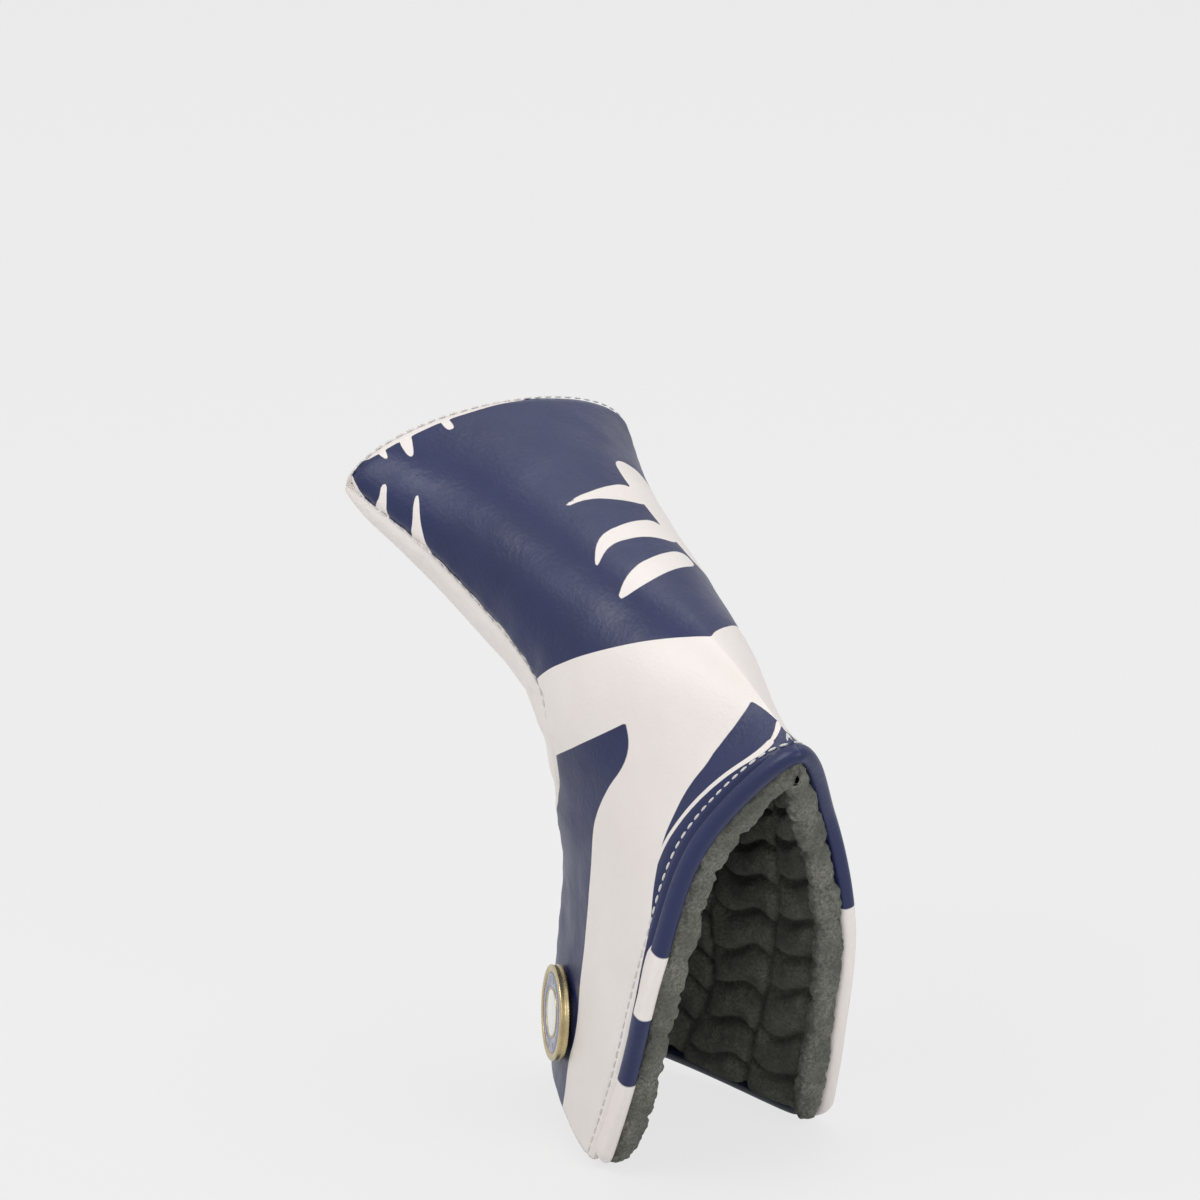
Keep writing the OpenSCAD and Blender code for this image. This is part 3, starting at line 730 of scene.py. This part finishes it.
def sideLining(side):
    z = quilt
    us = spread(*z["sideRows"], z["rowStep"])
    ks = np.linspace(0, 1, z["sideCells"] + 1)
    flat = sidePanel(us, ks, cover["wall"], side)
    fromSeam = lengthAlong(flat, 1)
    fromTop = fromSeam[:, -1:] - fromSeam
    along = lengthAlong(flat, 0)
    along = along[:, -1:] + 0 * along
    inner = quiltDepth(flat, along, fromTop + z["courseStart"], np.minimum(fromSeam + z["softEdge"], 1))
    tip = along[-1:] - along
    inner = inner - z["endRound"] * rounded(tip, z["endRound"])
    outer = np.full_like(inner, z["back"])
    outer, inner = [overHood(sidePanel(us, ks, d, side), us, ks) for d in (outer, inner)]
    piece = makeShell(sideName(side, "Lining"), outer, inner, plushPile, (us[:, None] / tipRib, ks[None, :]))
    bendWith(piece)
    return piece


def soleLining():
    z = quilt
    us = np.concatenate([spread(-1, 0, z["toeStep"])[:-1], spread(0, tipRib, z["rowStep"])])
    fs = np.linspace(-1, 1, z["soleCells"] + 1)
    flat = solePanel(us, fs, np.full((len(us), len(fs)), cover["wall"]))
    across = lengthAlong(flat, 1)
    edges = np.minimum(across, across[:, -1:] - across)
    middle = across - across[:, -1:] / 2
    along = lengthAlong(flat, 0)[:, len(fs) // 2][:, None] + 0 * across
    inner = quiltDepth(flat, along, middle + z["column"] / 2, edges + z["softEdge"])
    tip = along[-1:] - along
    close = rounded(tip, z["endRound"])
    inner = inner - z["endRound"] * close
    outer = z["back"] + z["soleEnd"] * close + z["toeBack"] * bump(us[:, None], z["toeRows"])
    depths = (outer, inner)
    grids = [roundAcross(solePanel(us, fs, d), us, 0.0, z["toeReach"], z["toePasses"]) for d in depths]
    outer, inner = [overHood(grid, us, 0 * fs) for grid in grids]
    piece = makeShell("soleLining", outer, inner, plushPile, (us[:, None] / (tipRib + 1), fs[None, :]))
    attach(piece, "root")
    return piece


nearLining = sideLining(near)
farLining = sideLining(far)
soleLiningPiece = soleLining()
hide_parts("crown_lining", "crown_foam", "near_flap_lining", "near_flap_foam")
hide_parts("far_flap_lining", "far_flap_foam")
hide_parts("sole_lining", "sole_foam")
print("lining: quilted plush")

# the mouth's edge: a leather welt and a fat plush roll inside it

mouthEdge = {"weltBack": 0.0022, "weltIn": 0.0020, "weltHalfBack": 0.0025, "weltHalfIn": 0.0022,
             "plushBack": 0.0021, "plushIn": 0.0076, "plushHalfBack": 0.0029, "plushHalfIn": 0.0038,
             "pinch": 0.2, "pinchWidth": 0.0014, "endRound": 0.006, "endMiddle": 0.55, "endBack": 0.001,
             "lump": 0.08, "lumpLength": 0.0043, "lumpWander": 0.011, "tuft": 0.0008, "tuftClump": 0.0026,
             "tuftFine": 0.0012, "apexClear": 0.002, "printAt": 0.988}


def ovalAround(sides, power):
    # cosine and sine of a rounded square; a higher power is squarer
    angle = np.linspace(0, 2 * math.pi, sides, endpoint=False)
    cosine, sine = np.cos(angle), np.sin(angle)
    return np.sign(cosine) * np.abs(cosine)**(2 / power), np.sign(sine) * np.abs(sine)**(2 / power)


def edgeTube(name, side, step, sides, centre, half, power, material, lumps):
    z = mouthEdge
    ts = spread(0, tipRib - hoodRib, step)
    run = lengthAlong(edgeAt(hoodRib + ts), 0)
    cosine, sine = ovalAround(sides, power)
    size = np.ones(len(ts))
    if lumps:
        toPinch = np.abs((run / quilt["pitch"]) % 1 - 0.5) * quilt["pitch"]
        wave = z["lump"] * np.sin(run / z["lumpLength"] + 1.3 * np.sin(run / z["lumpWander"]))
        size = 1 - z["pinch"] * bump(toPinch, z["pinchWidth"]) + wave
    toEnd = np.clip(1 - (run[-1] - run) / z["endRound"], 0, 1)
    close = np.sqrt(np.clip(1 - toEnd**2, 0.015, 1))
    size = size * close
    toMiddle = (1 - close) * (cover["wall"] * z["endMiddle"] - centre[1])
    back = centre[0] + half[0] * size[:, None] * cosine + z["endBack"] * (1 - close[:, None])
    depth = centre[1] + toMiddle[:, None] + half[1] * size[:, None] * sine
    rings = edgeInset((hoodRib + ts)[:, None] + 0 * back, depth, back)
    if lumps:
        middle = rings.mean(1, keepdims=True)
        tuft = 0.55 * noiseAt(rings, z["tuftClump"], 1.0) + 0.6 * noiseAt(rings, z["tuftFine"], 6.0)
        out = unit(rings - middle)
        free = (run[:, None] > z["apexClear"])[..., None]
        rings = rings + free * out * tuft[..., None] * z["tuft"]
        rings[..., 1] = np.maximum(rings[..., 1], 0)
    rings = rings * [1, side, 1]
    piece = makeTube(name, rings, material)
    if material == printedLeather:
        v = z["printAt"] if side == near else 2 - z["printAt"]
        field = np.repeat(printField(hoodRib + ts, v), sides)
        setAttribute(piece, "printField", np.concatenate([field, field[[0, -1]]]))
        setAttribute(piece, "pinField", np.ones(len(field) + 2))
    bendWith(piece)
    return piece


m = mouthEdge
for side in (near, far):
    welt = edgeTube(sideName(side, "Welt"), side, 0.02, 24, (m["weltBack"], m["weltIn"]),
                    (m["weltHalfBack"], m["weltHalfIn"]), 2.5, printedLeather, False)
    # the roll wears the lighter copy of the plush: painted light
    roll = edgeTube(sideName(side, "PlushRoll"), side, 0.012, 52, (m["plushBack"], m["plushIn"]),
                    (m["plushHalfBack"], m["plushHalfIn"]), 2.4, plushRoll, True)
    if side == near:
        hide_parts("hood_welt", "near_welt")
        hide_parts("hood_plush_edge", "near_plush_edge")
    else:
        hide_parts("far_welt")
        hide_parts("far_plush_edge")
print("mouth edge: welt and plush roll")

# the hem along each flap's lower edge

hem = {"height": 0.0042, "low": 0.0014, "high": 0.0094, "cells": 90, "sides": 28, "power": 2.5,
       "drop": 0.0004, "endPower": 24}


def flapHem(side):
    ks = np.linspace(0, 1, hem["cells"] + 1)
    rowHeight = np.linalg.norm(edgeAt(tipRib) - edgeAt(tipRib - 1))
    cosine, sine = ovalAround(hem["sides"], hem["power"])
    middle = (hem["low"] + hem["high"]) / 2
    half = (hem["high"] - hem["low"]) / 2
    close = np.sqrt(np.clip(1 - (np.abs(ks - 0.5) * 2)**hem["endPower"], 0.03, 1))
    us = tipRib + (-hem["height"] / 2 + hem["drop"] + hem["height"] / 2 * sine) / rowHeight
    depth = middle + half * cosine * close[:, None] + 0 * sine
    start = turnOf(seamAt(us))
    share = shareOf(start + (math.pi - start) * ks[:, None])
    rings = skin(us + 0 * share, share, depth, side)
    piece = makeTube(sideName(side, "Hem"), rings, hemLeatherPaintedShade)
    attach(piece, sideName(side, "_flap"))
    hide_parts(sideName(side, "_hem"))
    return piece


flapHem(near)
flapHem(far)
print("hems")

# stitches, by Geometry Nodes along each seam's path

def stitchTree():
    tree = bpy.data.node_groups.new("stitchesAlongSeam", "GeometryNodeTree")
    face = tree.interface
    face.new_socket("Geometry", in_out="INPUT", socket_type="NodeSocketGeometry")
    for name in ("Pitch", "Length", "Radius"):
        face.new_socket(name, in_out="INPUT", socket_type="NodeSocketFloat")
    face.new_socket("Thread", in_out="INPUT", socket_type="NodeSocketMaterial")
    face.new_socket("Geometry", in_out="OUTPUT", socket_type="NodeSocketGeometry")
    new = tree.nodes.new
    given, result = new("NodeGroupInput"), new("NodeGroupOutput")
    curve = new("GeometryNodeMeshToCurve")
    points = new("GeometryNodeCurveToPoints")
    points.mode = "LENGTH"
    turn = new("FunctionNodeAlignRotationToVector")
    turn.axis = "Z"
    grain = new("GeometryNodeMeshUVSphere")
    grain.inputs["Segments"].default_value = 8
    grain.inputs["Rings"].default_value = 8
    grain.inputs["Radius"].default_value = 1
    halve = new("ShaderNodeMath")
    halve.operation = "MULTIPLY"
    halve.inputs[1].default_value = 0.5
    size = new("ShaderNodeCombineXYZ")
    place = new("GeometryNodeInstanceOnPoints")
    real = new("GeometryNodeRealizeInstances")
    smooth = new("GeometryNodeSetShadeSmooth")
    finish = new("GeometryNodeSetMaterial")
    for source, output, target, entry in (
            (given, "Geometry", curve, "Mesh"), (curve, "Curve", points, "Curve"),
            (given, "Pitch", points, "Length"), (points, "Tangent", turn, "Vector"),
            (given, "Length", halve, 0), (given, "Radius", size, "X"), (given, "Radius", size, "Y"),
            (halve, 0, size, "Z"), (points, "Points", place, "Points"), (grain, "Mesh", place, "Instance"),
            (turn, "Rotation", place, "Rotation"), (size, "Vector", place, "Scale"),
            (place, "Instances", real, "Geometry"), (real, "Geometry", smooth, "Geometry"),
            (smooth, "Geometry", finish, "Geometry"), (given, "Thread", finish, "Material"),
            (finish, "Geometry", result, "Geometry")):
        tree.links.new(source.outputs[output], target.inputs[entry])
    return tree


stitchNodes = stitchTree()


def stitchesAlong(name, path, scale=1.0):
    mesh = bpy.data.meshes.new(name + "Path")
    mesh.from_pydata(path.tolist(), [(i, i + 1) for i in range(len(path) - 1)], [])
    guide = linked(name + "Path", mesh)
    modifier = guide.modifiers.new("stitches", "NODES")
    modifier.node_group = stitchNodes
    values = {"Pitch": seams["pitch"], "Length": seams["length"], "Radius": seams["radius"] * scale,
              "Thread": whiteThread}
    for item in stitchNodes.interface.items_tree:
        if item.in_out == "INPUT" and item.name in values:
            modifier[item.identifier] = values[item.name]
    evaluated = guide.evaluated_get(bpy.context.evaluated_depsgraph_get())
    made = bpy.data.meshes.new_from_object(evaluated)
    guide.modifiers.remove(modifier)
    bpy.data.objects.remove(guide)
    piece = linked(name, made)
    return piece


def seamThreads():
    z = seams
    lift = z["groove"] - z["sunk"]
    for side in (near, far):
        path = mouthLine(np.linspace(*z["topRows"], z["topPoints"]), z["inset"], lift, side)
        piece = stitchesAlong(sideName(side, "Topstitch"), path)
        bendWith(piece)
        if side == near:
            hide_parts("hood_topstitch", "near_topstitch")
        else:
            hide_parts("far_topstitch")
        us = np.linspace(*z["sideRows"], z["sidePoints"])
        path = overHood(skin(us, seamAt(us), z["valley"], side)[:, None], us, np.zeros(1))[:, 0]
        piece = stitchesAlong(sideName(side, "SideSeam"), path, z["fine"])
        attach(piece, "root")
        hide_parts(sideName(side, "_side_seam"))
    ks = np.linspace(z["toeStart"], 1, z["toePoints"])
    halves = [sidePanel(np.array([0.0]), ks, z["valley"], side)[0] for side in (near, far)]
    piece = stitchesAlong("toeSeam", np.concatenate([halves[0], halves[1][-2::-1]]), z["fine"])
    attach(piece, "root")
    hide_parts("toe_seam")


seamThreads()
print("stitches")

# the ball marker on its steel seat

coin = {"radius": 0.0125, "low": 0.00085, "high": 0.00345, "face": 0.0105, "sink": 0.0006,
        "bevel": 0.0004, "rimGroove": 0.00018, "grooveHalf": 0.0003, "ring": 0.0064, "ringWidth": 0.0003,
        "segments": 96, "ticks": 12, "tickFrom": 0.0079, "tickTo": 0.0095, "tickHalf": 0.00022,
        "dome": 0.00008, "enamelLow": 0.00012, "enamelEdge": 0.0002}


def lathe(name, profile, material):
    # a closed ring or disc on the marker's axis, from its profile as (radius, height)
    segments = coin["segments"]
    angle = np.linspace(0, 2 * math.pi, segments, endpoint=False)
    verts, rows = [], []
    for radius, height in profile:
        if radius < 1e-7:
            rows.append([len(verts)])
            verts.append((0, 0, height))
        else:
            rows.append(list(range(len(verts), len(verts) + segments)))
            verts += [(radius * math.cos(a), radius * math.sin(a), height) for a in angle]
    faces = []
    for low, high in zip(rows, rows[1:]):
        for j in range(segments):
            k = (j + 1) % segments
            if len(low) == 1:
                faces.append([low[0], high[k], high[j]])
            elif len(high) == 1:
                faces.append([low[j], low[k], high[0]])
            else:
                faces.append([low[j], low[k], high[k], high[j]])
    piece = makeObject(name, np.array(verts), faces, material)
    piece.data.transform(markerMatrix)
    return piece


def coinBody():
    z = coin
    r, b = z["radius"], z["bevel"]
    steps = [i * math.pi / 12 for i in range(7)]
    middle, slim = (z["low"] + z["high"]) / 2, r - z["rimGroove"]
    profile = [(0, z["low"])]
    profile += [(r - b + b * math.sin(t), z["low"] + b - b * math.cos(t)) for t in steps]
    profile += [(slim, middle - z["grooveHalf"]), (slim, middle + z["grooveHalf"])]
    profile += [(r - b + b * math.cos(t), z["high"] - b + b * math.sin(t)) for t in steps]
    profile += [(z["face"] + 0.0004, z["high"] + 0.00005), (z["face"] + 0.00012, z["high"] - 0.0001),
                (z["face"], z["high"] - z["sink"]), (0, z["high"] - z["sink"])]
    return lathe("coinBody", profile, coinBrass)


def enamelRing(name, inside, outside, material):
    z = coin
    base, top = z["high"] - z["sink"] - 0.0001, z["high"] - z["enamelLow"]
    dome, edge = z["dome"], z["enamelEdge"]
    profile = [(inside, base), (outside, base), (outside, top - dome), (outside - edge, top)]
    if inside == 0:
        profile += [(outside / 2, top + dome), (0, top + dome)]
    else:
        profile += [(inside + edge, top), (inside, top - dome), (inside, base)]
    return lathe(name, profile, material)


def coinTicks():
    # short raised bars of bare metal between the two rings, evenly spaced
    z = coin
    corners = []
    faces = []
    base, top = z["high"] - z["sink"], z["high"] - 0.00004
    for i in range(z["ticks"]):
        a = 2 * math.pi * i / z["ticks"]
        out = np.array([math.cos(a), math.sin(a)])
        across = np.array([-out[1], out[0]]) * z["tickHalf"]
        first, last = out * z["tickFrom"], out * z["tickTo"]
        n = len(corners)
        for height, slim in ((base, 1.0), (top, 0.7)):
            for end in (first, last):
                for s in (-1, 1):
                    corners.append([*(end + s * slim * across), height])
        faces += [[n, n + 1, n + 3, n + 2], [n + 4, n + 6, n + 7, n + 5], [n, n + 4, n + 5, n + 1],
                  [n + 2, n + 3, n + 7, n + 6], [n, n + 2, n + 6, n + 4], [n + 1, n + 5, n + 7, n + 3]]
    piece = makeObject("coinTicks", np.array(corners), faces, coinBrass, [False] * len(faces))
    piece.data.transform(markerMatrix)
    return piece


def ballMarker():
    z = coin
    body = coinBody()
    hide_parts("marker_coin")
    inside, outside = z["ring"] - z["ringWidth"], z["ring"] + z["ringWidth"]
    base, top = z["high"] - z["sink"], z["high"] - 0.0001
    outer = enamelRing("enamelRing", outside, z["face"] - 0.0001, blueEnamel)
    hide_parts("marker_enamel")
    centre = enamelRing("enamelCentre", 0, inside, whiteEnamel)
    crest = (z["ring"], z["high"] - 0.00002)
    ring = lathe("coinRing", [(inside, base), (outside, base), (outside, top), crest, (inside, top),
                              (inside, base)], coinBrass)
    ticks = coinTicks()
    for piece in (body, outer, centre, ring, ticks):
        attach(piece, "ball_marker")


ballMarker()
finishes = {"marker_seat": seatSteel, "seat_rivet": seatSteel, "rivet_washer": seatSteel,
            "seat_magnet": magnetMetal, "near_magnet": magnetMetal, "far_magnet": magnetMetal}
for node, material in finishes.items():
    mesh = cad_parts[node].data
    mesh.materials.clear()
    mesh.materials.append(material)
print("ball marker and metal parts")

# the room: a plain floor, soft light and the camera

room = {"floor": colour(238, 238, 238), "floorSize": 30.0, "floorDrop": 0.0008, "seenGlow": 0.86, "sky": 0.42,
        "azimuth": 59.8, "elevation": 20.1, "distance": 2.903, "lens": 339.5, "sensor": 36,
        "aim": (-0.0413, -0.0002, 0.1299)}


def roomMaterial(name):
    s = Shade(name)
    tree = s.tree
    s.set(Base_Color=room["floor"], Roughness=0.9, Specular_IOR_Level=0.1)
    s.set(Normal=s.relief(s.noise(40.0, 2.0), 0.0002, 0.1))
    rays = s.add("LightPath")
    seen = s.maths("MAXIMUM", rays.outputs["Is Camera Ray"],
                   s.maths("MAXIMUM", rays.outputs["Is Glossy Ray"], rays.outputs["Is Transmission Ray"]))
    glow = s.add("Emission", Color=room["floor"], Strength=1.0)
    mix = s.add("MixShader")
    s.put(mix, 0, s.maths("MULTIPLY", seen, room["seenGlow"]))
    tree.links.new(s.main.outputs[0], mix.inputs[1])
    tree.links.new(glow.outputs[0], mix.inputs[2])
    tree.links.new(mix.outputs[0], tree.nodes["Material Output"].inputs["Surface"])
    return s.material


def makeRoom():
    half = room["floorSize"] / 2
    low = cadBox[0].z - room["floorDrop"]
    verts = np.array([[-half, -half, low], [half, -half, low], [half, half, low], [-half, half, low]])
    floor = makeObject("floor", verts, [[0, 1, 2, 3]], roomMaterial("paleFloor"))
    world = bpy.data.worlds.new("studio")
    world.use_nodes = True
    tree = world.node_tree
    sky = tree.nodes["Background"]
    sky.inputs["Color"].default_value = (1, 1, 1, 1)
    sky.inputs["Strength"].default_value = room["sky"]
    rays = tree.nodes.new("ShaderNodeLightPath")
    seenSky = tree.nodes.new("ShaderNodeBackground")
    seenSky.inputs["Color"].default_value = room["floor"]
    seenSky.inputs["Strength"].default_value = 1.0
    mix = tree.nodes.new("ShaderNodeMixShader")
    direct, seen = tree.nodes.new("ShaderNodeMath"), tree.nodes.new("ShaderNodeMath")
    direct.operation = seen.operation = "MAXIMUM"
    tree.links.new(rays.outputs["Is Camera Ray"], direct.inputs[0])
    tree.links.new(rays.outputs["Is Glossy Ray"], direct.inputs[1])
    tree.links.new(direct.outputs[0], seen.inputs[0])
    tree.links.new(rays.outputs["Is Transmission Ray"], seen.inputs[1])
    tree.links.new(seen.outputs[0], mix.inputs[0])
    tree.links.new(sky.outputs[0], mix.inputs[1])
    tree.links.new(seenSky.outputs[0], mix.inputs[2])
    tree.links.new(mix.outputs[0], tree.nodes["World Output"].inputs["Surface"])
    bpy.context.scene.world = world


def makeLamp(name, place, aim, size, power):
    data = bpy.data.lights.new(name, "AREA")
    data.shape = "DISK"
    data.size = size
    data.energy = power
    lamp = linked(name, data)
    lamp.location = place
    lamp.rotation_euler = (Vector(aim) - Vector(place)).to_track_quat("-Z", "Y").to_euler()


def makeCamera():
    a, e = math.radians(room["azimuth"]), math.radians(room["elevation"])
    back = Vector((math.sin(a) * math.cos(e), -math.cos(a) * math.cos(e), math.sin(e)))
    data = bpy.data.cameras.new("camera")
    data.sensor_width = room["sensor"]
    data.lens = room["lens"]
    data.clip_start, data.clip_end = 0.1, 30
    camera = linked("camera", data)
    camera.location = Vector(room["aim"]) + back * room["distance"]
    camera.rotation_mode = "QUATERNION"
    camera.rotation_quaternion = (-back).to_track_quat("-Z", "Y")
    bpy.context.scene.camera = camera


makeRoom()
makeLamp("keyLamp", (-0.15, -1.1, 1.35), (-0.03, 0, 0.08), 0.9, 10)
makeLamp("frontLamp", (1.3, 0.1, 0.75), (-0.03, 0, 0.08), 1.1, 7)
makeLamp("topLamp", (-0.3, 0.5, 1.6), (-0.03, 0, 0.1), 1.0, 7)
makeCamera()
bpy.context.scene.view_settings.view_transform = "Standard"
print("room, lamps and camera")

bpy.context.view_layer.update()
